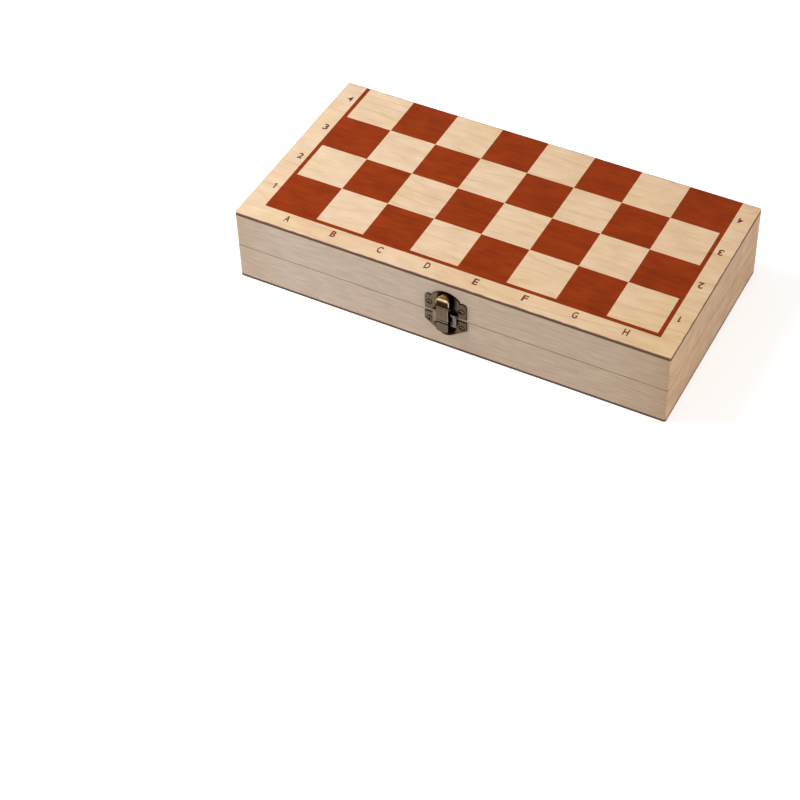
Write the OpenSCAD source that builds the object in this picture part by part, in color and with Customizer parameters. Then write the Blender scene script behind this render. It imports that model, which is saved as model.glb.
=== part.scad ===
// Folding chess box: two shallow trays whose backs are the two halves of the
// board, joined by two butt hinges and held shut by a toggle latch.
// Millimetres. X runs along the files, -Y is the latch side, Z is up. The
// origin is the middle of the face that the closed box rests on.

/* [Board] */
// Side of one square of the board
square_side = 30; // [28:0.5:34]
// Width of the stained line round the squares
border_line = 2.5; // [1:0.5:4]
// Bare wood between the line and the left edge
left_margin = 12.7; // [9:0.1:16]
// Bare wood between the line and the right edge
right_margin = 11.3; // [9:0.1:16]
// Bare wood between the line and the latch edge
front_margin = 13; // [10:0.5:18]
// How far the last rank runs past a full square, where the two halves meet
rear_overrun = 0.5; // [-1:0.1:1]

/* [Case] */
// Height of each half, face veneer included
half_height = 24.2; // [22:0.2:36]
// Thickness of the frame's four walls
wall_thickness = 7; // [6:0.5:10]
// Rounding of the case's upright corners
corner_radius = 1.5; // [0.5:0.25:3]
// Gap between the two rims when the box is shut
rim_gap = 0.1; // [0.06:0.02:0.3]
// Thickness of the dark board under the veneer
core_thickness = 1.2; // [1:0.1:3]
// Thickness of the maple face veneer
veneer_thickness = 0.5; // [0.4:0.1:1]
// Depth that the stain sinks into the veneer
stain_depth = 0.2; // [0.1:0.05:0.3]

/* [Hinges] */
// Distance of each hinge's middle from the middle of the box
hinge_place = 78; // [60:1:100]
// Length of a hinge
hinge_length = 24; // [20:1:30]
// How far a leaf reaches from the pin's centre over the rim
leaf_reach = 6.3; // [5.6:0.1:6.4]
// Thickness of a leaf
leaf_thickness = 0.8; // [0.6:0.1:1]
// Outer radius of the hinge barrel
barrel_radius = 1.6; // [1.5:0.1:1.8]
// Radius of the hinge pin
hinge_pin_radius = 0.7; // [0.5:0.05:0.8]
// Gap between the two rear walls when the board lies open
open_gap = 1.2; // [1:0.1:1.6]

/* [Latch] */
// How far the latch sits to the right of the middle
latch_place = 1.2; // [-2:0.1:2]
// How far the latch sits above the seam
latch_rise = 0.5; // [-0.3:0.1:0.7]
// Width of the latch plate, on the upper half
plate_width = 25.8; // [25.6:0.1:28]
// Width of the keeper plate, on the lower half
keeper_width = 26.2; // [26:0.1:28]
// Thickness of both plates
plate_thickness = 0.9; // [0.8:0.05:1]
// Distance of the screws from the latch's middle
screw_spread = 10; // [9.6:0.1:10.4]
// Outer width of the hood that holds the lever
hood_width = 9.2; // [9:0.1:9.4]
// Rounding of the hood's two front edges
hood_edge = 1.6; // [0.9:0.1:1.8]
// Width of the lever and of the strap's tongue
lever_width = 7.5; // [7:0.1:7.6]
// Thickness of the hood's, lever's and strap's sheet
sheet = 0.8; // [0.7:0.05:0.8]
// Width of the strap behind the lever
strap_width = 14.8; // [14:0.1:15.2]
// Radius of the lever's pin and of the strap's pin
latch_pin_radius = 0.46; // [0.4:0.02:0.5]

/* [Hidden] */
$fn = 48;

files = 8;
ranks_per_half = 4;
field_width = files * square_side;
field_middle = (left_margin - right_margin) / 2;
box_width = field_width + 2 * border_line + left_margin + right_margin;
box_depth = ranks_per_half * square_side + rear_overrun + border_line + front_margin;
box_height = 2 * half_height;
panel_thickness = core_thickness + veneer_thickness;
field_front = -box_depth / 2 + front_margin + border_line;
wall_height = half_height - panel_thickness - rim_gap / 2;
base_wall_foot = panel_thickness;
lid_wall_foot = half_height + rim_gap / 2;
cut_past = 1;          // how far cutting tools run past a face
stain_clear = 0.03;    // keeps stained squares that meet at a corner apart

// Hinge: the axis lies in the rim plane, just behind the rear walls.
axis_y = box_depth / 2 + open_gap / 2;
axis_z = half_height;
knuckle_half = hinge_length * 0.175;
knuckle_gap = 0.3;
pin_play = 0.04;
barrel_clear = 0.3;
leaf_screw_spread = 7.6;
leaf_screw_line = 3.9;     // distance of the screws from the pin's centre
leaf_screw_head = 1.5;
leaf_screw_shank = 0.75;
leaf_screw_length = 6;
pilot_play = 0.05;

// Latch, drawn in its own frame: X along the wall, Y upward, Z outward.
plate_foot = 1.5;          // lower edge of the latch plate
wing_top = 12.5;
wing_radius = 2.3;
dome_middle = 6;
dome_radius = 11.2;
notch_place = 9.3;
notch_radius = 0.9;
plate_screw_height = 6.8;
keeper_top = -0.9;
keeper_side_foot = -6.8;
keeper_bowl_middle = -8.8;
keeper_bowl_radius = 5.9;
keeper_screw_height = -5.6;
screw_head_radius = 1.7;
screw_head_height = 0.7;
screw_shank = 0.8;
screw_length = 5.5;
screw_slot = 0.7;
hood_foot = 10.3;
hood_shoulder = 12.3;
hood_front = 5.0;
hood_back = 0.7;
ear_foot = 8.05;
lever_axis = [9.0, 4.45];  // height, distance from the wall
ear_radius = 0.95;
lever_knuckle = 0.9;
lever_foot = -1;
lever_front = 5.4;
flange_back = 1.65;
strap_axis = [3.6, 2.5];
strap_knuckle = 0.95;
strap_back = 1.55;
strap_foot = -5.2;
strap_window_foot = -1.9;
strap_window_width = 9.6;
tongue_top = -2.2;
tongue_foot = -8.6;
tongue_radius = 1.8;
hook_back = 2.75;
hook_width = 5;
cup_middle = -5.6;
cup_radius = 7;
cup_front = 2.5;
cup_edge = 2.1;
cup_wall = 0.7;

maple = [0.94, 0.83, 0.70];
stain_red = [0.62, 0.23, 0.10];
side_wood = [0.79, 0.72, 0.63];
core_brown = [0.40, 0.31, 0.23];
bronze = [0.42, 0.37, 0.29];
brass = [0.72, 0.58, 0.32];
steel = [0.70, 0.69, 0.65];

function arc(middle, radius, from, to, steps) =
    [for (i = [0:steps]) let (a = from + (to - from) * i / steps)
        middle + radius * [cos(a), sin(a)]];

// ---------- The board ----------

// Outline of the case, seen from above, with rounded corners.
module case_outline() {
    r = corner_radius;
    square([box_width - 2 * r, box_depth], center = true);
    square([box_width, box_depth - 2 * r], center = true);
    for (x = [-1, 1], y = [-1, 1])
        translate([x * (box_width / 2 - r), y * (box_depth / 2 - r)]) circle(r);
}

module slab(bottom, thickness) {
    translate([0, 0, bottom]) linear_extrude(thickness) case_outline();
}

// The line round three sides, and every second square. parity 0 stains the
// corner square at the latch end of the first file.
module stain_outline(parity) {
    rear = box_depth / 2;
    line_x = field_width / 2 + border_line;
    line_inner = field_width / 2 - 2 * stain_clear;
    translate([field_middle, 0]) {
        difference() {
            translate([-line_x, field_front - border_line])
                square([2 * line_x, rear - field_front + border_line]);
            translate([-line_inner, field_front + 2 * stain_clear])
                square([2 * line_inner, rear - field_front + cut_past]);
        }
        for (file = [0:files - 1], band = [0:ranks_per_half - 1])
            if ((file + band) % 2 == parity)
                stained_square(file, band, rear);
    }
}

// A stained square. One of the last rank runs on to the rear edge.
module stained_square(file, band, rear) {
    foot = field_front + band * square_side + stain_clear;
    last = band == ranks_per_half - 1;
    translate([(file - files / 2) * square_side + stain_clear, foot])
        square([
            square_side - 2 * stain_clear,
            last ? rear - foot : square_side - 2 * stain_clear
        ]);
}

module base_panel() {
    color(core_brown) slab(veneer_thickness, core_thickness);
}

module base_veneer() {
    color(maple)
    difference() {
        slab(0, veneer_thickness);
        translate([0, 0, -cut_past])
            linear_extrude(cut_past + stain_depth) stain_outline(1);
    }
}

module base_stain() {
    color(stain_red) linear_extrude(stain_depth) stain_outline(1);
}

module lid_panel() {
    color(core_brown) slab(box_height - panel_thickness, core_thickness);
}

module lid_veneer() {
    color(maple)
    difference() {
        slab(box_height - veneer_thickness, veneer_thickness);
        translate([0, 0, box_height - stain_depth])
            linear_extrude(cut_past + stain_depth) stain_outline(0);
    }
}

module lid_stain() {
    color(stain_red)
    translate([0, 0, box_height - stain_depth])
        linear_extrude(stain_depth) stain_outline(0);
}

// ---------- The frames: four mitred walls in each half ----------

// One wall of the frame. length is that side's length, depth the other's.
module mitre_wedge(length, depth) {
    reach = wall_thickness + 5;
    polygon([
        [-length / 2 - cut_past, -depth / 2 - cut_past],
        [length / 2 + cut_past, -depth / 2 - cut_past],
        [length / 2 - reach, -depth / 2 + reach],
        [-length / 2 + reach, -depth / 2 + reach]
    ]);
}

module frame_wall(turn, bottom, height) {
    side = turn % 180 == 0 ? [box_width, box_depth] : [box_depth, box_width];
    inner = [box_width - 2 * wall_thickness, box_depth - 2 * wall_thickness];
    translate([0, 0, bottom])
    linear_extrude(height)
    intersection() {
        difference() {
            case_outline();
            square(inner, center = true);
        }
        rotate(turn) mitre_wedge(side[0], side[1]);
    }
}

module base_front_wall() {
    color(side_wood)
    difference() {
        frame_wall(0, base_wall_foot, wall_height);
        latch_frame() screw_pilots(keeper_screw_height);
    }
}

module base_rear_wall() {
    color(side_wood)
    difference() {
        frame_wall(180, base_wall_foot, wall_height);
        hinge_cuts(-1);
    }
}

module base_left_wall() {
    color(side_wood) frame_wall(270, base_wall_foot, wall_height);
}

module base_right_wall() {
    color(side_wood) frame_wall(90, base_wall_foot, wall_height);
}

module lid_front_wall() {
    color(side_wood)
    difference() {
        frame_wall(0, lid_wall_foot, wall_height);
        latch_frame() screw_pilots(plate_screw_height);
    }
}

module lid_rear_wall() {
    color(side_wood)
    difference() {
        frame_wall(180, lid_wall_foot, wall_height);
        hinge_cuts(1);
    }
}

module lid_left_wall() {
    color(side_wood) frame_wall(270, lid_wall_foot, wall_height);
}

module lid_right_wall() {
    color(side_wood) frame_wall(90, lid_wall_foot, wall_height);
}

// ---------- The hinges ----------

// Puts what is drawn round a hinge's own middle at the left or right hinge.
module at_hinge(hand) {
    translate([hand * hinge_place, axis_y, axis_z]) children();
}

module bar_along_x(radius, length) {
    rotate([0, 90, 0]) cylinder(r = radius, h = length, center = true);
}

// What both rear walls lose: the leaf's recess, the barrel's groove, and the
// screws' pilot holes. up is 1 for the lid's wall and -1 for the base's.
module hinge_cuts(up) {
    play = 0.1;
    depth = rim_gap / 2 + leaf_thickness;
    for (hand = [-1, 1])
        at_hinge(hand) {
            bar_along_x(barrel_radius + barrel_clear, hinge_length + 2 * play);
            translate([
                -hinge_length / 2 - play,
                -leaf_reach - play,
                up > 0 ? 0 : -depth
            ])
                cube([hinge_length + 2 * play, leaf_reach + play, depth]);
            leaf_screw_places()
                mirror([0, 0, up > 0 ? 0 : 1])
                    cylinder(
                        r = leaf_screw_shank + pilot_play,
                        h = depth + leaf_screw_length
                    );
        }
}

module leaf_screw_places() {
    for (x = [-1, 1])
        translate([x * leaf_screw_spread, -leaf_screw_line, 0]) children();
}

// A leaf above its rim. Its knuckles are the middle one or the two outer ones.
module hinge_leaf(middle_knuckle) {
    outer = hinge_length / 2 - knuckle_half - knuckle_gap;
    own = middle_knuckle
        ? [[0, 2 * knuckle_half]]
        : [for (s = [-1, 1]) [s * (hinge_length / 2 - outer / 2), outer]];
    other = middle_knuckle
        ? [for (s = [-1, 1]) [s * (hinge_length / 2 - outer / 2), outer]]
        : [[0, 2 * knuckle_half]];
    difference() {
        union() {
            translate([-hinge_length / 2, -leaf_reach, rim_gap / 2])
                cube([hinge_length, leaf_reach - barrel_radius * 0.75, leaf_thickness]);
            for (k = own)
                translate([k[0], 0, 0]) bar_along_x(barrel_radius, k[1]);
        }
        bar_along_x(hinge_pin_radius + pin_play, hinge_length + 2 * cut_past);
        for (k = other)
            translate([k[0], 0, 0])
                bar_along_x(barrel_radius + 0.2, k[1] + 2 * knuckle_gap);
        leaf_screw_places() countersunk_screw(0.03, 0);
    }
}

// Head up to the rim gap, shank into the wood. swell makes it a cutting tool.
module countersunk_screw(swell, recess) {
    head_height = leaf_screw_head - leaf_screw_shank;
    difference() {
        translate([0, 0, rim_gap / 2]) {
            cylinder(
                r1 = leaf_screw_head + swell,
                r2 = leaf_screw_shank + swell,
                h = head_height
            );
            cylinder(r = leaf_screw_shank + swell, h = leaf_screw_length);
        }
        if (recess > 0)
            cross_recess(
                leaf_screw_head * 0.6, 0.36, rim_gap / 2 - cut_past, recess + cut_past
            );
    }
}

module cross_recess(reach, slot, bottom, height) {
    translate([0, 0, bottom + height / 2])
        for (turn = [0, 90])
            rotate(turn) cube([2 * reach, slot, height], center = true);
}

module flip_down() {
    mirror([0, 0, 1]) children();
}

module base_leaf(hand) {
    color(brass) at_hinge(hand) flip_down() hinge_leaf(false);
}

module lid_leaf(hand) {
    color(brass) at_hinge(hand) hinge_leaf(true);
}

module hinge_pin(hand) {
    color(steel) at_hinge(hand) bar_along_x(hinge_pin_radius, hinge_length);
}

module base_leaf_left() {
    base_leaf(-1);
}

module base_leaf_right() {
    base_leaf(1);
}

module lid_leaf_left() {
    lid_leaf(-1);
}

module lid_leaf_right() {
    lid_leaf(1);
}

module hinge_pin_left() {
    hinge_pin(-1);
}

module hinge_pin_right() {
    hinge_pin(1);
}

module base_leaf_screws() {
    color(brass)
    for (hand = [-1, 1])
        at_hinge(hand) flip_down() leaf_screw_places() countersunk_screw(0, 0.4);
}

module lid_leaf_screws() {
    color(brass)
    for (hand = [-1, 1])
        at_hinge(hand) leaf_screw_places() countersunk_screw(0, 0.4);
}

// ---------- The latch ----------

// X along the front wall, Y upward, Z outward from the wall.
module latch_frame() {
    translate([latch_place, -box_depth / 2, half_height + latch_rise])
        rotate([90, 0, 0]) children();
}

// Extrudes a side view, drawn as height against distance out.
module side_view(width) {
    rotate([90, 0, 90]) linear_extrude(width, center = true) children();
}

module screw_places(height) {
    for (x = [-1, 1]) translate([x * screw_spread, height, 0]) children();
}

module screw_pilots(height) {
    screw_places(height)
        translate([0, 0, -screw_length])
            cylinder(r = screw_shank + pilot_play, h = screw_length + cut_past);
}

module dome_screws(height) {
    ball = (pow(screw_head_radius, 2) + pow(screw_head_height, 2)) / 2 / screw_head_height;
    screw_places(height)
    difference() {
        union() {
            intersection() {
                translate([0, 0, plate_thickness + screw_head_height - ball]) sphere(ball);
                translate([0, 0, plate_thickness]) cylinder(r = screw_head_radius, h = ball);
            }
            translate([0, 0, -screw_length])
                cylinder(r = screw_shank, h = screw_length + plate_thickness + 0.1);
        }
        cross_recess(screw_head_radius * 0.7, screw_slot, plate_thickness + 0.15, 1);
    }
}

// The pin's bore, through everything that turns on it or holds it.
module bore_at(axis, play) {
    translate([0, axis[0], axis[1]]) bar_along_x(latch_pin_radius + play, 40);
}

module plate_outline() {
    half = plate_width / 2;
    difference() {
        union() {
            translate([-half, plate_foot])
                square([plate_width, wing_top - wing_radius - plate_foot]);
            translate([-half + wing_radius, plate_foot])
                square([plate_width - 2 * wing_radius, wing_top - plate_foot]);
            for (x = [-1, 1])
                translate([x * (half - wing_radius), wing_top - wing_radius])
                    circle(wing_radius);
            intersection() {
                translate([0, dome_middle]) circle(dome_radius);
                translate([-half, plate_foot]) square([plate_width, 20]);
            }
        }
        for (x = [-1, 1])
            translate([x * notch_place, wing_top + notch_radius / 2]) circle(notch_radius);
        screw_places(plate_screw_height) circle(screw_shank + pilot_play);
    }
}

// The hood from above, with its two front edges rounded.
module hood_plan(inset) {
    half = hood_width / 2 - inset;
    front = hood_front - inset;
    r = hood_edge - inset;
    translate([-half, 0]) square([2 * half, front - r]);
    translate([-half + r, 0]) square([2 * (half - r), front]);
    for (x = [-1, 1])
        translate([x * (half - r), front - r]) circle(r);
}

// The hood as a solid: a round-topped front view cut by a round-shouldered
// side view and by the plan. inset makes the smaller one that hollows it.
module hood_form(inset) {
    half = hood_width / 2 - inset;
    middle = 12;
    intersection() {
        linear_extrude(10) {
            translate([-half, 0]) square([2 * half, middle]);
            translate([0, middle]) circle(half);
        }
        side_view(hood_width + 2) {
            translate([hood_foot - 3 * inset, plate_thickness / 2])
                square([hood_shoulder - hood_foot + 3 * inset,
                    hood_front - inset - plate_thickness / 2]);
            intersection() {
                translate([hood_shoulder, hood_back])
                    circle(hood_front - hood_back - inset);
                translate([hood_shoulder, plate_thickness / 2]) square(10);
            }
        }
        translate([0, 30, 0]) rotate([90, 0, 0]) linear_extrude(30) hood_plan(inset);
    }
}

// The hood's two ears, which hold the lever's pin.
module hood_ears() {
    ear = (hood_width - lever_width) / 2 - 0.15;
    for (x = [-1, 1])
        translate([x * (hood_width - ear) / 2, 0, 0])
            side_view(ear) {
                translate([ear_foot, plate_thickness / 2])
                    square([hood_foot + 0.05 - ear_foot, lever_axis[1] - plate_thickness / 2]);
                translate([hood_foot, plate_thickness / 2])
                    square([
                        hood_shoulder - hood_foot,
                        hood_front - hood_edge - plate_thickness / 2
                    ]);
                translate(lever_axis) circle(ear_radius);
            }
}

module latch_plate() {
    color(bronze)
    latch_frame()
    difference() {
        union() {
            linear_extrude(plate_thickness) plate_outline();
            difference() {
                hood_form(0);
                hood_form(sheet - 0.1);
            }
            hood_ears();
        }
        bore_at(lever_axis, 0.02);
    }
}

module latch_plate_screws() {
    color(steel) latch_frame() dome_screws(plate_screw_height);
}

module keeper_outline() {
    half = keeper_width / 2;
    slope = atan2(
        keeper_side_foot - keeper_bowl_middle + keeper_bowl_radius * 0.76,
        half - keeper_bowl_radius * 0.65
    );
    difference() {
        polygon(concat(
            [[half, keeper_top], [-half, keeper_top], [-half, keeper_side_foot]],
            arc([0, keeper_bowl_middle], keeper_bowl_radius, 270 - slope, 270 + slope, 16),
            [[half, keeper_side_foot]]
        ));
        screw_places(keeper_screw_height) circle(screw_shank + pilot_play);
        intersection() {
            translate([0, cup_middle]) circle(cup_radius - cup_wall);
            translate([-half, -20]) square([keeper_width, 20 + cup_middle]);
        }
    }
}

// Side of the pressed cup from its middle to its rim, as a closed section.
module cup_section() {
    outer = arc([cup_radius - cup_edge, cup_front - cup_edge], cup_edge, 90, 0, 6);
    inner = arc(
        [cup_radius - cup_edge, cup_front - cup_edge], cup_edge - cup_wall, 0, 90, 6
    );
    polygon(concat(
        [[0, cup_front]], outer, [[cup_radius, 0], [cup_radius - cup_wall, 0]],
        inner, [[0, cup_front - cup_wall]]
    ));
}

module keeper_plate() {
    slot_height = 1.8;
    color(bronze)
    latch_frame()
    difference() {
        union() {
            linear_extrude(plate_thickness) keeper_outline();
            intersection() {
                translate([0, cup_middle, 0]) rotate_extrude() cup_section();
                translate([-20, cup_middle - 20, 0]) cube([40, 20, 10]);
            }
        }
        translate([-hook_width / 2 - 0.4, tongue_foot - 0.4, plate_thickness])
            cube([hook_width + 0.8, slot_height, 5]);
    }
}

module keeper_screws() {
    color(steel) latch_frame() dome_screws(keeper_screw_height);
}

module lever_pin() {
    color(steel)
    latch_frame()
        translate([0, lever_axis[0], lever_axis[1]])
            bar_along_x(latch_pin_radius, hood_width + 0.4);
}

// A channel: a front and two flanges, hung on the upper pin.
module latch_lever() {
    color(bronze)
    latch_frame()
    difference() {
        union() {
            translate([-lever_width / 2, lever_foot, lever_front - sheet])
                cube([lever_width, lever_axis[0] - lever_foot, sheet]);
            translate([0, lever_axis[0], lever_axis[1]])
                bar_along_x(lever_knuckle, lever_width);
            translate([0, lever_foot + 0.4, lever_front])
                bar_along_x(0.5, lever_width);
            for (x = [-1, 1])
                translate([x * (lever_width - sheet) / 2, 0, 0])
                    side_view(sheet)
                        polygon([
                            [lever_foot, lever_front],
                            [lever_axis[0], lever_front - 0.1],
                            [lever_axis[0], lever_axis[1] - 0.8],
                            [strap_axis[0] + 1.2, flange_back],
                            [strap_axis[0] - 1.2, flange_back],
                            [lever_foot, flange_back + 1.5]
                        ]);
        }
        bore_at(lever_axis, pin_play);
        bore_at(strap_axis, 0.02);
    }
}

module strap_pin() {
    color(steel)
    latch_frame()
        translate([0, strap_axis[0], strap_axis[1]])
            bar_along_x(latch_pin_radius, strap_width + 0.4);
}

// A flat loop on the lower pin, with a tongue that steps out under the lever
// and turns in again at its foot to hook the keeper's cup.
module latch_strap() {
    arm = (strap_width - strap_window_width) / 2;
    color(bronze)
    latch_frame()
    difference() {
        union() {
            translate([0, 0, strap_back])
            linear_extrude(sheet)
            difference() {
                translate([-strap_width / 2, strap_foot])
                    square([strap_width, strap_axis[0] - strap_foot]);
                translate([-strap_window_width / 2, strap_window_foot])
                    square([strap_window_width, 20]);
            }
            for (x = [-1, 1])
                translate([
                    x * (strap_width - arm) / 2, strap_axis[0], strap_axis[1]
                ])
                    bar_along_x(strap_knuckle, arm);
            translate([-lever_width / 2, tongue_top - sheet, strap_back])
                cube([lever_width, sheet, lever_front - strap_back]);
            translate([0, 0, lever_front - sheet])
                linear_extrude(sheet) tongue_outline();
            translate([-hook_width / 2, tongue_foot, hook_back])
                cube([hook_width, sheet, lever_front - hook_back - sheet / 2]);
        }
        bore_at(strap_axis, pin_play);
    }
}

module tongue_outline() {
    r = tongue_radius;
    translate([-lever_width / 2, tongue_foot + r])
        square([lever_width, tongue_top - tongue_foot - r]);
    translate([-lever_width / 2 + r, tongue_foot])
        square([lever_width - 2 * r, r]);
    for (x = [-1, 1])
        translate([x * (lever_width / 2 - r), tongue_foot + r]) circle(r);
}

base_panel();
base_veneer();
base_stain();
base_front_wall();
base_rear_wall();
base_left_wall();
base_right_wall();
keeper_plate();
keeper_screws();
base_leaf_left();
base_leaf_right();
base_leaf_screws();
hinge_pin_left();
hinge_pin_right();
lid_panel();
lid_veneer();
lid_stain();
lid_front_wall();
lid_rear_wall();
lid_left_wall();
lid_right_wall();
lid_leaf_left();
lid_leaf_right();
lid_leaf_screws();
latch_plate();
latch_plate_screws();
lever_pin();
latch_lever();
strap_pin();
latch_strap();
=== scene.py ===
import math

import bmesh
import bpy
from mathutils import Matrix, Vector


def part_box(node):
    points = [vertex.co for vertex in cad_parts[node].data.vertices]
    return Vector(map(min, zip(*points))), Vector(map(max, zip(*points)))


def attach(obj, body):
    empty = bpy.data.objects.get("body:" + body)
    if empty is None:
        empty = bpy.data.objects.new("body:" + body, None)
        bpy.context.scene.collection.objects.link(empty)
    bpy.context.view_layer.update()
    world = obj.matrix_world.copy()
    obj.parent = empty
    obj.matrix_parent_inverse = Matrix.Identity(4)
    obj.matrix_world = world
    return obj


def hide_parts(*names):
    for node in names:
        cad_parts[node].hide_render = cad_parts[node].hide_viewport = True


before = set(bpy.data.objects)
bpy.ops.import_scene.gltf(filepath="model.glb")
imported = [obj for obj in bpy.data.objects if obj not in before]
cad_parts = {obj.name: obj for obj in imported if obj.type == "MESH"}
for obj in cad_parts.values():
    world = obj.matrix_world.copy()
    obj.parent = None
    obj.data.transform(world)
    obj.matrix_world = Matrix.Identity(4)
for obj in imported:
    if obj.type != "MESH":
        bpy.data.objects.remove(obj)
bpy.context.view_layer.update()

# ---------- The two boards ----------
# The back of each half is a thin plywood board whose outline was cut by a
# laser, so its edge is charred brown. Its inner side is bare and pale.

MM = 0.001
CHARRED = (0.165, 0.088, 0.050)
BARE_PLY = (0.700, 0.530, 0.360)
PLY_FIBRES = (40, 900, 900)        # noise features per metre along X, Y and Z
FIBRE_SHADE = 0.86
CHARRED_THROUGH = 0.12 * MM        # the strip along the outline that is all char
CHAR_REACH = 0.6 * MM              # how far in from the outline a face's char fades out
INNER_CHAR_REACH = 3 * MM          # the same on a board's edge and inner side
END_CHAR = 2.0                     # the ends are charred this many times less far in
CHAR_BLOTCHES = (150, 150, 150)
CHAR_UNREST = (0.55, 1.6)          # how the blotches shorten and lengthen the reach

case_low, case_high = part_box("lid_veneer")
seam = case_high.z / 2


def add(tree, kind, inputs=None, **settings):
    """Adds a node. An input given as a socket is linked, any other is set."""
    node = tree.nodes.new(kind)
    for name, value in settings.items():
        setattr(node, name, value)
    for name, value in (inputs or {}).items():
        if isinstance(value, bpy.types.NodeSocket):
            tree.links.new(value, node.inputs[name])
        else:
            node.inputs[name].default_value = value
    return node


def maths(tree, operation, *values):
    """A number worked out from others, each a socket or a plain value."""
    return add(tree, "ShaderNodeMath", dict(enumerate(values)), operation=operation).outputs[0]


def mixed(tree, factor, first, second, blend="MIX"):
    """Mixes two colours, each a socket or an RGB triple."""
    colours = [c if isinstance(c, bpy.types.NodeSocket) else (*c, 1) for c in (first, second)]
    node = add(tree, "ShaderNodeMix", {0: factor, 6: colours[0], 7: colours[1]},
               data_type="RGBA", blend_type=blend)
    return node.outputs[2]


def spread(tree, value, low, high, to_low=0.0, to_high=1.0):
    """Carries a value from low..high to to_low..to_high, held at both ends."""
    return add(tree, "ShaderNodeMapRange",
               {"Value": value, "From Min": low, "From Max": high,
                "To Min": to_low, "To Max": to_high}).outputs[0]


def object_place(tree):
    return add(tree, "ShaderNodeTexCoord").outputs["Object"]


def object_axes(tree):
    """The same place as three numbers, under X, Y and Z."""
    return add(tree, "ShaderNodeSeparateXYZ", {0: object_place(tree)}).outputs


def noise(tree, place, features, detail=3.0, roughness=0.5):
    """Soft noise from 0 to 1, with so many features per metre along X, Y and Z."""
    mapped = add(tree, "ShaderNodeMapping", {"Vector": place, "Scale": features})
    return add(tree, "ShaderNodeTexNoise",
               {"Vector": mapped.outputs[0], "Scale": 1.0, "Detail": detail,
                "Roughness": roughness}).outputs["Fac"]


def new_finish(name, roughness, metallic=0.0, gloss=0.5):
    """A material with its node tree and its shader."""
    finish = bpy.data.materials.new(name)
    finish.use_nodes = True
    shader = finish.node_tree.nodes["Principled BSDF"]
    shader.inputs["Roughness"].default_value = roughness
    shader.inputs["Metallic"].default_value = metallic
    shader.inputs["Specular IOR Level"].default_value = gloss
    return finish, finish.node_tree, shader


def charred_at_outline(tree, colour, reach=CHAR_REACH):
    """The given colour, charred here more and there less along the outline of the case."""
    axes = object_axes(tree)
    from_end = maths(tree, "SUBTRACT", case_high.x, maths(tree, "ABSOLUTE", axes["X"]))
    in_x = maths(tree, "MULTIPLY", from_end, END_CHAR)
    in_y = maths(tree, "SUBTRACT", case_high.y, maths(tree, "ABSOLUTE", axes["Y"]))
    blotches = noise(tree, object_place(tree), CHAR_BLOTCHES)
    unrest = spread(tree, blotches, 0.35, 0.65, *CHAR_UNREST)
    inward = maths(tree, "DIVIDE", maths(tree, "MINIMUM", in_x, in_y), unrest)
    unmarked = spread(tree, inward, CHARRED_THROUGH, reach)
    return mixed(tree, unmarked, CHARRED, colour)


def dress(node, finish):
    """Gives a CAD node its finish, and leaves its shape as it is."""
    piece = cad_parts[node]
    piece.data.materials.clear()
    piece.data.materials.append(finish)


plywood, tree, shader = new_finish("charred_plywood", roughness=0.7, gloss=0.1)
fibre = noise(tree, object_place(tree), PLY_FIBRES)
ply = mixed(tree, fibre, [FIBRE_SHADE * c for c in BARE_PLY], BARE_PLY)
tree.links.new(charred_at_outline(tree, ply, INNER_CHAR_REACH), shader.inputs["Base Color"])
for node in ("base_panel", "lid_panel"):
    dress(node, plywood)

# ---------- The maple faces ----------
# Half a millimetre of pale maple veneer, lacquered satin, glued over each
# board. Its grain runs along the files, with thin wandering growth lines.

MAPLE = (0.965, 0.735, 0.525)
MAPLE_DARK = (0.640, 0.410, 0.220)
MAPLE_YELLOW = (0.900, 0.680, 0.380)
MAPLE_PINK = (0.900, 0.620, 0.430)
YELLOW_PATCHES = (14, 26, 26)
PINK_PATCHES = (24, 31, 31)
PATCH_STRENGTH = (0.50, 0.70, 0.0, 0.7)    # the noise's range, and the tint it gives
FIBRES = (70, 1000, 1000)
CLOUDS = (75, 130, 130)
RING_PATCHES = (14, 40, 40)        # where the year rings show and where they fade
RING_SHARPNESS = 8.0
FACE_RINGS = ("Y", 8.5 * MM, (9, 19, 19), 5.0)     # across, spacing, bends and wander
FACE_SHARES = (0.26, 0.38, 0.24)   # of fibres, year rings and clouds in the grain
# painted shade: the tint the wood shows on its less lit right-hand side
RIGHTWARD_SHADE = (0.985, 0.925, 0.825)
KNOT = (0.420, 0.230, 0.090)
KNOT_CELLS = (15, 18, 18)
KNOTLESS = 0.70                    # share of the cells that have no knot
KNOT_MARKS = ((0.15, 0.45, MAPLE_YELLOW), (0.026, 0.6, KNOT))     # reach, strength and tint
FACE_SOFTENING = 0.15 * MM
CORNER = 1.5 * MM                  # radius of the case's upright corners
WELD = 0.002 * MM
FLAT_WITHIN = math.radians(0.5)
SOFT_WITHIN = math.cos(math.radians(50))


def merged_copy(node):
    """A bmesh of a CAD node's solid, with whole faces in place of loose triangles."""
    bm = bmesh.new()
    bm.from_mesh(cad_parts[node].data)
    bmesh.ops.remove_doubles(bm, verts=bm.verts, dist=WELD)
    bmesh.ops.dissolve_limit(bm, angle_limit=FLAT_WITHIN, verts=bm.verts, edges=bm.edges)
    return bm


def bevel(bm, edges, size, segments=2, clamp=True):
    bmesh.ops.bevel(bm, geom=edges, offset=size, affect="EDGES", segments=segments,
                    profile=0.5, material=-1, clamp_overlap=clamp)


def shade_evenly(mesh):
    """Blends the soft edges into the faces beside them, and keeps those faces flat."""
    mesh.shade_smooth()
    meeting = [[] for _ in mesh.vertices]
    for face in mesh.polygons:
        for corner in face.vertices:
            meeting[corner].append(face)
    normals = []
    for face in mesh.polygons:
        for corner in face.vertices:
            level = [f for f in meeting[corner] if f.normal.dot(face.normal) > SOFT_WITHIN]
            normals.append(sum((f.normal * f.area for f in level), Vector()).normalized())
    mesh.normals_split_custom_set(normals)


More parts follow.
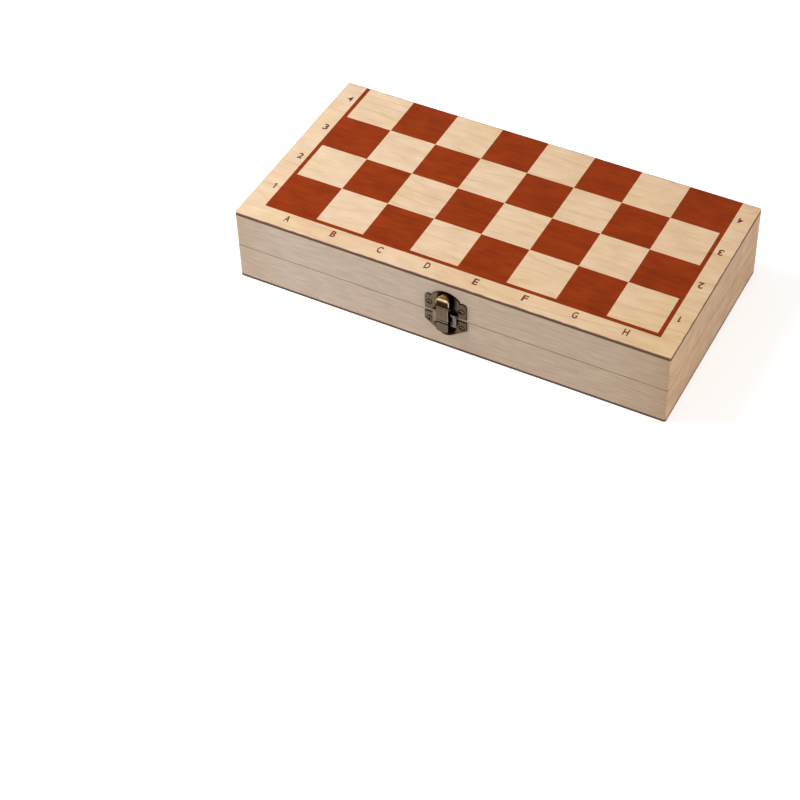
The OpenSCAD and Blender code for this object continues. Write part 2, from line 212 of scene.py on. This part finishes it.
def make_piece(name, bm, finish, body, slot, *nodes):
    """Turns a bmesh into a piece that rides on a body and stands for CAD nodes."""
    mesh = bpy.data.meshes.new(name)
    bm.to_mesh(mesh)
    bm.free()
    mesh.materials.append(finish)
    shade_evenly(mesh)
    piece = bpy.data.objects.new(name, mesh)
    bpy.context.scene.collection.objects.link(piece)
    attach(piece, body)
    if nodes:
        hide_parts(*nodes)
    return piece


def wood_place(tree, along="X", shift=(0, 0, 0)):
    """Object coordinates turned so that the grain runs along X."""
    turn = (0, 0, 0) if along == "X" else (0, 0, math.radians(90))
    mapping = {"Vector": object_place(tree), "Rotation": turn, "Location": shift}
    return add(tree, "ShaderNodeMapping", mapping).outputs[0]


def year_rings(tree, place, across, spacing, bends, wander):
    """Thin lines about spacing apart, each dark on one side, that bend and close into arches."""
    axis = add(tree, "ShaderNodeSeparateXYZ", {0: place}).outputs[across]
    bend = maths(tree, "MULTIPLY", noise(tree, place, bends, detail=3.0), wander)
    count = maths(tree, "ADD", maths(tree, "DIVIDE", axis, spacing), bend)
    return maths(tree, "POWER", maths(tree, "FRACT", count), RING_SHARPNESS)


def wood_grain(tree, place, rings, fibres, lines, clouds):
    """How dark the wood is, from 0 up: fine fibres, year rings that come and go, and clouds."""
    fine = spread(tree, noise(tree, place, FIBRES, detail=4.0, roughness=0.6), 0.3, 0.7)
    cloudy = spread(tree, noise(tree, place, CLOUDS, detail=3.0), 0.35, 0.65)
    come_and_go = spread(tree, noise(tree, place, RING_PATCHES, detail=1.0), 0.34, 0.62, 0.1, 1.0)
    ringed = maths(tree, "MULTIPLY", rings, come_and_go)
    parts = [maths(tree, "MULTIPLY", part, share)
             for part, share in ((fine, fibres), (ringed, lines), (cloudy, clouds))]
    return maths(tree, "ADD", maths(tree, "ADD", parts[0], parts[1]), parts[2])


def roughen(tree, shader, height, strength, depth=0.05 * MM):
    """A little relief from the same pattern as the colour."""
    bump = add(tree, "ShaderNodeBump",
               {"Strength": strength, "Distance": depth, "Height": height}, invert=True)
    tree.links.new(bump.outputs[0], shader.inputs["Normal"])


def add_knots(tree, colour, place):
    """A few pin knots, each in a small yellowish patch."""
    mapped = add(tree, "ShaderNodeMapping", {"Vector": place, "Scale": KNOT_CELLS})
    cells = add(tree, "ShaderNodeTexVoronoi",
                {"Vector": mapped.outputs[0], "Scale": 1.0}, feature="F1")
    lot = add(tree, "ShaderNodeSeparateColor", {0: cells.outputs["Color"]}).outputs[0]
    chosen = maths(tree, "GREATER_THAN", lot, KNOTLESS)
    for size, strength, mark in KNOT_MARKS:
        near = spread(tree, cells.outputs["Distance"], size, 0.0, 0.0, strength)
        colour = mixed(tree, maths(tree, "MULTIPLY", near, chosen), colour, mark)
    return colour


def yellowed(tree, colour):
    """The colour, a little darker and yellower towards the right: painted shade, where less light
    falls.
    """
    share = spread(tree, object_axes(tree)["X"], case_low.x, case_high.x)
    return mixed(tree, share, colour, mixed(tree, 1.0, colour, RIGHTWARD_SHADE, "MULTIPLY"))


maple, tree, shader = new_finish("lacquered_maple", roughness=0.45, gloss=0.2)
place = wood_place(tree)
grain = wood_grain(tree, place, year_rings(tree, place, *FACE_RINGS), *FACE_SHARES)
yellow = spread(tree, noise(tree, place, YELLOW_PATCHES, detail=2.0), *PATCH_STRENGTH)
pink = spread(tree, noise(tree, place, PINK_PATCHES, detail=2.0), *PATCH_STRENGTH)
pale = mixed(tree, pink, mixed(tree, yellow, MAPLE, MAPLE_YELLOW), MAPLE_PINK)
colour = add_knots(tree, yellowed(tree, mixed(tree, grain, pale, MAPLE_DARK)), place)
tree.links.new(charred_at_outline(tree, colour), shader.inputs["Base Color"])
roughen(tree, shader, grain, strength=0.25)


def outline_edges(bm, level):
    """The edges of the case's outline at one height, where a side meets a face or rim."""
    def outer(vertex):
        beyond_x = max(abs(vertex.co.x) - (case_high.x - CORNER), 0)
        beyond_y = max(abs(vertex.co.y) - (case_high.y - CORNER), 0)
        at_level = abs(vertex.co.z - level) < 0.01 * MM
        return at_level and math.hypot(beyond_x, beyond_y) > 0.97 * CORNER

    return [e for e in bm.edges if all(outer(v) for v in e.verts)
            and any(abs(f.normal.z) < 0.1 for f in e.link_faces)
            and any(abs(f.normal.z) > 0.9 for f in e.link_faces)]


for half, level in (("base", 0.0), ("lid", case_high.z)):
    bm = merged_copy(f"{half}_veneer")
    bevel(bm, outline_edges(bm, level), FACE_SOFTENING)
    make_piece(f"{half}_maple_face", bm, maple, half, "maple_veneer", f"{half}_veneer")

# ---------- The stained squares and line ----------
# Red-brown stain soaked into the same veneer, so the maple's grain goes on
# faintly through the squares.

STAIN = (0.380, 0.050, 0.0065)
STAIN_DEEP = (0.190, 0.021, 0.0020)
STAIN_SHARES = (0.42, 0.26, 0.36)

stained, tree, shader = new_finish("stained_maple", roughness=0.5, gloss=0.05)
place = wood_place(tree)
grain = wood_grain(tree, place, year_rings(tree, place, *FACE_RINGS), *STAIN_SHARES)
colour = mixed(tree, grain, STAIN, STAIN_DEEP)
tree.links.new(charred_at_outline(tree, colour), shader.inputs["Base Color"])
roughen(tree, shader, grain, strength=0.2)
for half, level in (("base", 0.0), ("lid", case_high.z)):
    bm = merged_copy(f"{half}_stain")
    bevel(bm, outline_edges(bm, level), FACE_SOFTENING)
    make_piece(f"{half}_stained_squares", bm, stained, half, "red_stain", f"{half}_stain")

# ---------- The printed letters and numbers ----------
# Plain capitals along the front edge name the files, and numbers along both
# ends the ranks. Those on the right stand upside down, as on a full board.

INK = (0.195, 0.046, 0.013)
CAP_HEIGHT = 4.7 * MM
CAP_WIDTH = 3.15 * MM
INK_HEIGHT = 0.02 * MM
INK_WELD = 0.001 * MM
STROKE_GAIN = 0.027                # added round each stroke, as a share of the font's size
FOUR_GAIN = 0.4 * STROKE_GAIN      # less, which keeps the 4 open
FONT_CAP = 0.682                   # height of the font's capitals at size 1
SQUARE = 30 * MM
FIELD_MIDDLE = 0.7 * MM            # the board is printed a little to the right
FIRST_FILE = FIELD_MIDDLE - 3.5 * SQUARE
LETTER_LINE = 8.5 * MM             # from the front edge to the letters' middle
LETTER_STEP = 29.92 * MM
NUMBER_LINE = 126.5 * MM           # from the board's middle to the numbers' middle
LEFT_NUMBERS = (30.8 * MM, 30.35 * MM)     # the first one's place, and the step to the next
RIGHT_NUMBERS = (30.4 * MM, 30.05 * MM)
ONE_OUTLINE = ((-0.05, 0), (0.80, 0), (0.80, 4.7), (0.10, 4.7),
               (-0.80, 4.0), (-0.80, 3.15), (-0.05, 3.7))     # in millimetres

ink, _, shader = new_finish("printed_ink", roughness=0.5, gloss=0.08)
shader.inputs["Base Color"].default_value = (*INK, 1)


def glyph_mesh(text):
    """One narrow character as a thin solid, CAP_HEIGHT high, centred on the origin."""
    curve = bpy.data.curves.new("glyph", "FONT")
    curve.body = text
    curve.size = CAP_HEIGHT / FONT_CAP
    curve.offset = (FOUR_GAIN if text == "4" else STROKE_GAIN) * curve.size
    curve.extrude = INK_HEIGHT
    curve.resolution_u = 4
    holder = bpy.data.objects.new("glyph", curve)
    bpy.context.scene.collection.objects.link(holder)
    bpy.context.view_layer.update()
    drawn = holder.evaluated_get(bpy.context.evaluated_depsgraph_get())
    mesh = bpy.data.meshes.new_from_object(drawn)
    bpy.data.objects.remove(holder)
    across = [v.co.x for v in mesh.vertices]
    mesh.transform(Matrix.Translation((-(min(across) + max(across)) / 2, -CAP_HEIGHT / 2, 0)))
    mesh.transform(Matrix.Diagonal((CAP_WIDTH / (max(across) - min(across)), 1, 1, 1)))
    return mesh


def one_mesh():
    """The numeral 1, a bar with a slanting flag."""
    bm = bmesh.new()
    bm.faces.new([bm.verts.new((x * MM, y * MM - CAP_HEIGHT / 2, INK_HEIGHT))
                  for x, y in ONE_OUTLINE])
    mesh = bpy.data.meshes.new("one")
    bm.to_mesh(mesh)
    bm.free()
    return mesh


def print_face(name, body, level, looks_down, ranks):
    """Prints the letters and numbers of one face, its ranks listed from the front."""
    bm = bmesh.new()
    places = [(letter, FIRST_FILE + file * LETTER_STEP, LETTER_LINE, looks_down)
              for file, letter in enumerate("ABCDEFGH")]
    for step, rank in enumerate(ranks):
        for side, (first, pitch) in ((-1, LEFT_NUMBERS), (1, RIGHT_NUMBERS)):
            x = FIELD_MIDDLE + side * NUMBER_LINE
            places.append((str(rank), x, first + step * pitch, side > 0))
    flip = Matrix.Rotation(math.pi if looks_down else 0, 4, "X")
    for text, x, from_front, upside_down in places:
        mesh = one_mesh() if text == "1" else glyph_mesh(text)
        spin = Matrix.Rotation(math.pi if upside_down else 0, 4, "Z")
        mesh.transform(Matrix.Translation((x, case_low.y + from_front, level)) @ flip @ spin)
        bm.from_mesh(mesh)
    bmesh.ops.remove_doubles(bm, verts=bm.verts, dist=INK_WELD)
    make_piece(name, bm, ink, body, "red_stain")


print_face("lid_lettering", "lid", case_high.z, looks_down=False, ranks=(1, 2, 3, 4))
print_face("base_lettering", "base", 0.0, looks_down=True, ranks=(8, 7, 6, 5))

# ---------- The frames ----------
# Four mitred walls in each half, all of one pale wood, sanded and lacquered
# satin. The long walls are greyish and fine-grained, the short ones warmer:
# that difference in colour is painted light, the one wood as lit on each side.

# The long and end wall colours are painted light: one wood, lit differently.
LONG_WALL = (0.800, 0.655, 0.545)
LONG_WALL_DARK = (0.480, 0.362, 0.275)
END_WALL = (0.880, 0.630, 0.442)
END_WALL_DARK = (0.520, 0.310, 0.175)
WALL_RINGS = ("Z", 9 * MM, (7, 24, 24), 2.5)
LONG_SHARES = (0.60, 0.14, 0.10)
END_SHARES = (0.36, 0.15, 0.34)
END_SHIFT = (0.53, 0.1961, 0)      # takes the end walls' figure from elsewhere in the wood
RIM_SOFTENING = 0.12 * MM
# painted shade of the seam's gap with handling dirt, and painted shadow under the lid's board
WALL_SHADE_AND_DIRT = (0.150, 0.090, 0.055)
SEAM_MARK_REACH = (0.05 * MM, 0.32 * MM)     # from the seam, over which its painted shade and handling dirt clear
SEAM_WOOD_SHARE = 0.10                   # share of the wood's own colour left at the seam itself
BOARD_SHADOW_REACH = 0.25 * MM           # how far the painted shadow under the board's edge reaches down the lid's walls
# share of the wood's own colour left in that painted shadow
BOARD_SHADOW_WOOD_SHARE = 0.25
BROWNED = (0.90, 0.84, 0.76)
BROWNED_REACH = 30 * MM            # how far in from its ends a long wall is a little browner

board_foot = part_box("lid_panel")[0].z


def browned_at_ends(tree, colour):
    """The colour, a little browner towards both ends of the case."""
    from_middle = maths(tree, "ABSOLUTE", object_axes(tree)["X"])
    share = spread(tree, from_middle, case_high.x - BROWNED_REACH, case_high.x)
    return mixed(tree, share, colour, mixed(tree, 1.0, colour, BROWNED, "MULTIPLY"))


def wall_finish(name, along, pale, dark, shares, shift=(0, 0, 0)):
    """A wall's wood, darkened along the seam with painted shade and handling dirt, and under the
    lid's board with painted shadow.
    """
    finish, tree, shader = new_finish(name, roughness=0.5, gloss=0.12)
    place = wood_place(tree, along, shift)
    grain = wood_grain(tree, place, year_rings(tree, place, *WALL_RINGS), *shares)
    wood = yellowed(tree, mixed(tree, grain, pale, dark))
    if along == "X":
        wood = browned_at_ends(tree, wood)
    height = object_axes(tree)["Z"]
    from_seam = maths(tree, "ABSOLUTE", maths(tree, "SUBTRACT", height, seam))
    under_board = maths(tree, "SUBTRACT", board_foot, height)
    unmarked = maths(tree, "MULTIPLY", spread(tree, from_seam, *SEAM_MARK_REACH, SEAM_WOOD_SHARE, 1.0),
                  spread(tree, under_board, 0.0, BOARD_SHADOW_REACH, BOARD_SHADOW_WOOD_SHARE, 1.0))
    tree.links.new(mixed(tree, unmarked, WALL_SHADE_AND_DIRT, wood), shader.inputs["Base Color"])
    roughen(tree, shader, grain, strength=0.3)
    return finish


long_wall = wall_finish("long_wall_wood", "X", LONG_WALL, LONG_WALL_DARK, LONG_SHARES)
end_wall = wall_finish("end_wall_wood", "Y", END_WALL, END_WALL_DARK, END_SHARES, END_SHIFT)
walls = {"front": long_wall, "rear": long_wall, "left": end_wall, "right": end_wall}
for half in ("base", "lid"):
    for side, finish in walls.items():
        node = f"{half}_{side}_wall"
        low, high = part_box(node)
        bm = merged_copy(node)
        bevel(bm, outline_edges(bm, high.z if half == "base" else low.z), RIM_SOFTENING, segments=1)
        make_piece(f"{half}_{side}_frame", bm, finish, half, "frame_wood", node)

# ---------- The hinges ----------
# Two small brass butt hinges let into the rear rims: stamped leaves with
# rolled knuckles on a steel pin, held by countersunk brass screws.

BRASS = (0.62, 0.43, 0.17)
STEEL = (0.42, 0.41, 0.39)

hinge_brass, _, shader = new_finish("hinge_brass", roughness=0.32, metallic=1.0)
shader.inputs["Base Color"].default_value = (*BRASS, 1)
pin_steel, _, shader = new_finish("pin_steel", roughness=0.3, metallic=1.0)
shader.inputs["Base Color"].default_value = (*STEEL, 1)
for half in ("base", "lid"):
    for node in (f"{half}_leaf_left", f"{half}_leaf_right", f"{half}_leaf_screws"):
        dress(node, hinge_brass)
for node in ("hinge_pin_left", "hinge_pin_right"):
    dress(node, pin_steel)

# ---------- The latch ----------
# A stamped toggle latch in dark antiqued bronze: plate and hood, lever, strap
# and keeper. Its tones paint light: faces that look out are lighter, sides and
# hollows black with painted shade, and a painted brass highlight on the hood.

# painted shade: faces turned from the light, hollows and painted shadows
SHADE_BLACK = (0.010, 0.006, 0.004)
# painted dark reflection on the hood's front and top
REFLECTED_BROWN = (0.045, 0.021, 0.008)
DARK_BRONZE = (0.085, 0.062, 0.044)
WARM_BRONZE = (0.118, 0.080, 0.051)
GREEN_BRONZE = (0.148, 0.118, 0.082)
GREY_BRONZE = (0.178, 0.130, 0.097)
# painted sheen: the strap's bands and the screws' crowns
PALE_SHEEN_BRONZE = (0.235, 0.182, 0.140)
SKY_SHEEN_BRONZE = (0.200, 0.174, 0.155)
# painted gold reflection on the hood
REFLECTED_GOLD = (0.105, 0.064, 0.022)
# the hood's painted highlight, and the lever's brighter side edges
BRIGHT_BRASS = (0.900, 0.690, 0.400)
MOTTLE = (700, 700, 450)
MOTTLE_STRENGTH = 0.45
MOTTLE_SHADE = (0.55, 0.52, 0.46)
LATCH_SOFTENING = 0.14 * MM
LEVER_SOFTENING = 0.5 * MM
HOOD_SOFTENING = 0.7 * MM
HOOD_FOOT = 10.8 * MM              # heights are measured from the seam
HOOD_SHOULDER = 12.7 * MM
HOOD_HIGHLIGHT = (18, 28)             # degrees of tilt over which the hood turns to a painted brass highlight,
HOOD_REFLECTED_GOLD = (35, 45)               # then to a painted gold reflection
HOOD_REFLECTED_BROWN = (64, 86)              # and back to a painted brown reflection
LEVER_FRONT = 5.4 * MM             # reaches are measured out from the wall
LEVER_SHADE = (1 * MM, 11 * MM)    # heights over which the lever's face turns darker
SHEET_LEVEL = 1.2 * MM             # what lies nearer the wall is a flat plate
SHEET_WARMTH = (-8 * MM, 12 * MM)  # from the latch's middle, over which plates turn warmer
STRAP_CREST = SHEET_LEVEL + 3 * MM     # what reaches further out is the strap's tongue
LEVER_SHADOW_REACH = (5.2 * MM, 7.4 * MM)     # how far from the middle the plates carry the lever's painted shadow
LEVER_SHADOW_ON_LEFT = -1.25                 # the painted shadow reaches less far on the left
# share of the bronze's colour left in the lever's painted shadow
LEVER_SHADOW_KEEPS = 0.12
SCREW_SPREAD = 10 * MM
SCREW_HEIGHTS = (7.3 * MM, -5.1 * MM)
SEAT_SHADOW_REACH = (1.75 * MM, 2.3 * MM)     # the ring of painted shadow round each screw
# share of the bronze's colour left in the screws' painted shadow
SEAT_SHADOW_KEEPS = 0.25

wall_face = case_low.y
latch_middle = (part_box("latch_lever")[0].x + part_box("latch_lever")[1].x) / 2


def grime(tree):
    """Painted shadow beside the lever, most on its right, and round the screws, on the plates
    alone.
    """
    axes = object_axes(tree)
    across = maths(tree, "SUBTRACT", axes["X"], latch_middle)
    leftward = maths(tree, "MULTIPLY", across, LEVER_SHADOW_ON_LEFT)
    off_lever = spread(tree, maths(tree, "MAXIMUM", across, leftward),
                       *LEVER_SHADOW_REACH, LEVER_SHADOW_KEEPS, 1.0)
    ways = [maths(tree, "SUBTRACT", axes["Z"], seam + height) for height in SCREW_HEIGHTS]
    above = maths(tree, "MINIMUM", *[maths(tree, "ABSOLUTE", way) for way in ways])
    beside = maths(tree, "SUBTRACT", maths(tree, "ABSOLUTE", across), SCREW_SPREAD)
    squares = [maths(tree, "MULTIPLY", way, way) for way in (beside, above)]
    from_screw = maths(tree, "SQRT", maths(tree, "ADD", *squares))
    off_seat = spread(tree, from_screw, *SEAT_SHADOW_REACH, SEAT_SHADOW_KEEPS, 1.0)
    unmarked = maths(tree, "MULTIPLY", off_lever, off_seat)
    on_plate = add(tree, "ShaderNodeAttribute", attribute_name="on_plate").outputs["Fac"]
    return maths(tree, "MULTIPLY", on_plate, maths(tree, "SUBTRACT", 1.0, unmarked))


bronze, tree, shader = new_finish("antiqued_bronze_painted_light", roughness=0.34, metallic=1.0)
tone = add(tree, "ShaderNodeAttribute", attribute_name="tone").outputs["Color"]
mottle = noise(tree, object_place(tree), MOTTLE, detail=3.0)
shade = spread(tree, mottle, 0.3, 0.7, 0.0, MOTTLE_STRENGTH)
mottled = mixed(tree, shade, tone, mixed(tree, 1.0, tone, MOTTLE_SHADE, "MULTIPLY"))
# the painted shadows darken the tone towards black
bronze_with_painted_light = mixed(tree, grime(tree), mottled, SHADE_BLACK)
tree.links.new(bronze_with_painted_light, shader.inputs["Base Color"])
tree.links.new(bronze_with_painted_light, shader.inputs["Specular Tint"])


def blend(first, second, share):
    """Mixes two RGB triples."""
    share = min(max(share, 0), 1)
    return [a + (b - a) * share for a, b in zip(first, second)]


def rise(value, low, high):
    """0 up to low, 1 from high on, and even between them."""
    return min(max((value - low) / (high - low), 0), 1)


def tint(piece, tone_at):
    """Stores each corner's tone, from its x off the latch's middle, height, reach and normal; by
    the normal it paints light and shade.
    """
    mesh = piece.data
    mesh.attributes.new("tone", "FLOAT_COLOR", "CORNER")
    mesh.attributes.new("on_plate", "FLOAT", "CORNER")
    tones, on_plate = mesh.attributes["tone"], mesh.attributes["on_plate"]
    for face in mesh.polygons:
        for loop in face.loop_indices:
            spot = mesh.vertices[mesh.loops[loop].vertex_index].co
            x, reach, height = spot.x - latch_middle, wall_face - spot.y, spot.z - seam
            normal = Vector(mesh.corner_normals[loop].vector)
            tones.data[loop].color = (*tone_at(x, height, reach, normal), 1)
            on_plate.data[loop].value = float(reach < SHEET_LEVEL and face.normal.y < -0.9)


def sharp_edges(bm, least=30):
    """The edges whose two faces turn by more than so many degrees."""
    return [e for e in bm.edges if len(e.link_faces) == 2
            and e.calc_face_angle(0) > math.radians(least)]


def latch_piece(node, body, tone_at, rounded=None, rounding=0.0):
    """A latch part with softened outer edges. rounded picks edges that get a larger radius."""
    bm = merged_copy(node)
    if rounded:
        bevel(bm, [e for e in sharp_edges(bm) if rounded(e)], rounding, 3, clamp=False)
    bevel(bm, [e for e in sharp_edges(bm, 40) if e.is_convex], LATCH_SOFTENING)
    tint(make_piece(f"{node}_bronze", bm, bronze, body, "latch_bronze", node), tone_at)


def edge_reach(edge):
    return min(wall_face - v.co.y for v in edge.verts)


def hood_crest_edge(edge):
    lowest = min(v.co.z for v in edge.verts) - seam
    return edge.is_convex and lowest > HOOD_SHOULDER and edge_reach(edge) > SHEET_LEVEL


def lever_cross_edge(edge):
    return (edge_reach(edge) > LEVER_FRONT - 0.15 * MM
            and abs(edge.verts[0].co.x - edge.verts[1].co.x) < 0.01 * MM)


def sheet_tone(x, normal):
    """The plates' faces, warmer towards the right, with their edges dark as painted shade."""
    face = blend(GREEN_BRONZE, WARM_BRONZE, rise(x, *SHEET_WARMTH))
    return blend(SHADE_BLACK, face, rise(-normal.y, 0.8, 1.0))


def plate_tone(x, height, reach, normal):
    """The plate's sheet, and the hood, with a painted brass highlight where it bends up from its
    front, painted dark reflections on its front and top, and painted shade on its sides.
    """
    if reach < SHEET_LEVEL:
        return sheet_tone(x, normal)
    if height < HOOD_FOOT - 0.2 * MM:
        return DARK_BRONZE
    tilt = math.degrees(math.acos(min(max(-normal.y, -1), 1)))
    up = max(rise(normal.z, 0.1, 0.3), rise(height, HOOD_FOOT, HOOD_FOOT + 2 * MM))
    metal = blend(REFLECTED_BROWN, BRIGHT_BRASS, rise(tilt, *HOOD_HIGHLIGHT) * up)
    metal = blend(metal, REFLECTED_GOLD, rise(tilt, *HOOD_REFLECTED_GOLD))
    metal = blend(metal, REFLECTED_BROWN, rise(tilt, *HOOD_REFLECTED_BROWN))
    return blend(metal, SHADE_BLACK, rise(abs(normal.x), 0.6, 0.8))


def lever_tone(x, height, reach, normal):
    """The lever's front, darker upwards and a little brighter along its side edges, with its sides
    and inside black as painted shade.
    """
    if reach <= LEVER_FRONT - 0.7 * MM:
        return SHADE_BLACK
    front = max(-normal.y, 0)
    face = blend(GREY_BRONZE, DARK_BRONZE, 0.45 * rise(height, *LEVER_SHADE))
    metal = blend(SHADE_BLACK, face, rise(front, 0.1, 0.75))
    brightened = 0.25 * rise(abs(normal.x), 0.3, 0.7) * rise(front, 0.3, 0.6)
    return blend(metal, BRIGHT_BRASS, brightened)


def strap_tone(x, height, reach, normal):
    """The two bands beside the lever, tinted with a painted reflection of the sky, and the tongue
    below it; their sides black as painted shade.
    """
    band = PALE_SHEEN_BRONZE if x < 0 else SKY_SHEEN_BRONZE
    face = GREEN_BRONZE if reach > STRAP_CREST else band
    return blend(SHADE_BLACK, face, rise(max(-normal.y, 0), 0.4, 0.95))


def keeper_tone(x, height, reach, normal):
    """The keeper's sheet, and its cup, black with painted shade."""
    return SHADE_BLACK if reach > SHEET_LEVEL else sheet_tone(x, normal)


latch_piece("latch_plate", "lid", plate_tone, hood_crest_edge, HOOD_SOFTENING)
latch_piece("latch_lever", "lever", lever_tone, lever_cross_edge, LEVER_SOFTENING)
latch_piece("latch_strap", "strap", strap_tone)
latch_piece("keeper_plate", "base", keeper_tone)

# ---------- The latch's screws and pins ----------
# Round-headed screws in the same dull bronze, with painted shade in their cross
# slots and a painted highlight on the crown, and the two plain steel pins that
# the lever and the strap turn on.

SLOT_FLOOR = 1.15 * MM             # reach of the slots' floor


def screw_tone(x, height, reach, normal):
    """Dark with painted shade in the slots and at the head's rim, with a painted highlight on the
    crown.
    """
    front = max(-normal.y, 0)
    if reach < SLOT_FLOOR or front < 0.3:
        return SHADE_BLACK
    return blend(DARK_BRONZE, PALE_SHEEN_BRONZE, 1.5 * rise(front, 0.6, 1.0))


for node, body in (("latch_plate_screws", "lid"), ("keeper_screws", "base")):
    heads = make_piece(f"{node}_bronze", merged_copy(node), bronze, body, "latch_screw", node)
    tint(heads, screw_tone)
for node in ("lever_pin", "strap_pin"):
    dress(node, pin_steel)

# ---------- Floor, light and camera ----------
# A white floor with white all round, a soft lamp from the upper left and two
# weak ones, and the camera, which looks down on the latch side's right corner.

FLOOR_SIZE = 3.0
FLOOR_DROP = 0.1 * MM              # just clear of the lower face and its letters
FLOOR_GREY = (0.75, 0.75, 0.75)
FLOOR_GLOW = 0.62                  # what the floor shows the camera beyond its lit grey
SKY_LIGHT = 0.38


def background_rays(tree):
    """1 for what the camera, a reflection or a look through glass sees, else 0."""
    rays = add(tree, "ShaderNodeLightPath").outputs
    mirrored = maths(tree, "MAXIMUM", rays["Is Glossy Ray"], rays["Is Transmission Ray"])
    return maths(tree, "MAXIMUM", rays["Is Camera Ray"], mirrored)


floor_bm = bmesh.new()
bmesh.ops.create_grid(floor_bm, x_segments=1, y_segments=1, size=FLOOR_SIZE)
bmesh.ops.translate(floor_bm, verts=floor_bm.verts, vec=(0, 0, -FLOOR_DROP))
floor_mesh = bpy.data.meshes.new("floor")
floor_bm.to_mesh(floor_mesh)
floor_bm.free()
floor = bpy.data.objects.new("floor", floor_mesh)
bpy.context.scene.collection.objects.link(floor)
floor_paint = bpy.data.materials.new("floor_paint")
floor_paint.use_nodes = True
tree = floor_paint.node_tree
tree.nodes.clear()
matte = add(tree, "ShaderNodeBsdfDiffuse", {"Color": (*FLOOR_GREY, 1)})
strength = spread(tree, background_rays(tree), 0, 1, 0.0, FLOOR_GLOW)
glow = add(tree, "ShaderNodeEmission", {"Color": (1, 1, 1, 1), "Strength": strength})
both = add(tree, "ShaderNodeAddShader", {0: matte.outputs[0], 1: glow.outputs[0]})
add(tree, "ShaderNodeOutputMaterial", {"Surface": both.outputs[0]})
floor.data.materials.append(floor_paint)

world = bpy.data.worlds.new("studio")
bpy.context.scene.world = world
world.use_nodes = True
tree = world.node_tree
tree.nodes.clear()
strength = spread(tree, background_rays(tree), 0, 1, SKY_LIGHT, 1.0)
sky = add(tree, "ShaderNodeBackground", {"Color": (1, 1, 1, 1), "Strength": strength})
add(tree, "ShaderNodeOutputWorld", {"Surface": sky.outputs[0]})


def area_lamp(name, place, target, size, watts, colour):
    """A round lamp at a place, turned to face its target."""
    lamp = bpy.data.lights.new(name, "AREA")
    lamp.shape = "DISK"
    lamp.size = size
    lamp.energy = watts
    lamp.color = colour
    holder = bpy.data.objects.new(name, lamp)
    holder.location = place
    holder.rotation_euler = (Vector(target) - Vector(place)).to_track_quat("-Z", "Y").to_euler()
    bpy.context.scene.collection.objects.link(holder)


area_lamp("key_lamp", place=(-0.58, -0.19, 0.74), target=(0.0, 0.0, 0.03),
          size=0.5, watts=5.75, colour=(1.0, 1.0, 1.0))
area_lamp("front_lamp", place=(-0.42, -0.42, 0.12), target=(-0.10, -0.07, 0.03),
          size=0.3, watts=0.36, colour=(1.0, 0.98, 0.95))
area_lamp("fill_lamp", place=(0.70, -0.21, 0.24), target=(0.1, -0.04, 0.03),
          size=0.6, watts=1.15, colour=(1.0, 0.95, 0.88))

AZIMUTH = math.radians(27.8692)
ELEVATION = math.radians(43.2349)
ROLL = math.radians(-1.0702)
CAMERA_PLACE = (0.38392, -0.80483, 0.81675)
FOCAL_LENGTH = 92.5835             # on a film 36 mm wide
FILM_WIDTH = 36
LENS_SHIFT = (-0.04375, -0.125)    # the box doesn't stand in the middle of the lens
back = Vector((math.sin(AZIMUTH) * math.cos(ELEVATION),
               -math.cos(AZIMUTH) * math.cos(ELEVATION), math.sin(ELEVATION)))
level_right = Vector((math.cos(AZIMUTH), math.sin(AZIMUTH), 0))
right = level_right * math.cos(ROLL) + back.cross(level_right) * math.sin(ROLL)
turned = Matrix((right, back.cross(right), back)).transposed().to_4x4()
lens = bpy.data.cameras.new("camera")
lens.lens = FOCAL_LENGTH
lens.shift_x, lens.shift_y = LENS_SHIFT
lens.sensor_width = FILM_WIDTH
camera = bpy.data.objects.new("camera", lens)
bpy.context.scene.collection.objects.link(camera)
camera.matrix_world = Matrix.Translation(CAMERA_PLACE) @ turned
bpy.context.scene.camera = camera
bpy.context.scene.view_settings.view_transform = "Standard"
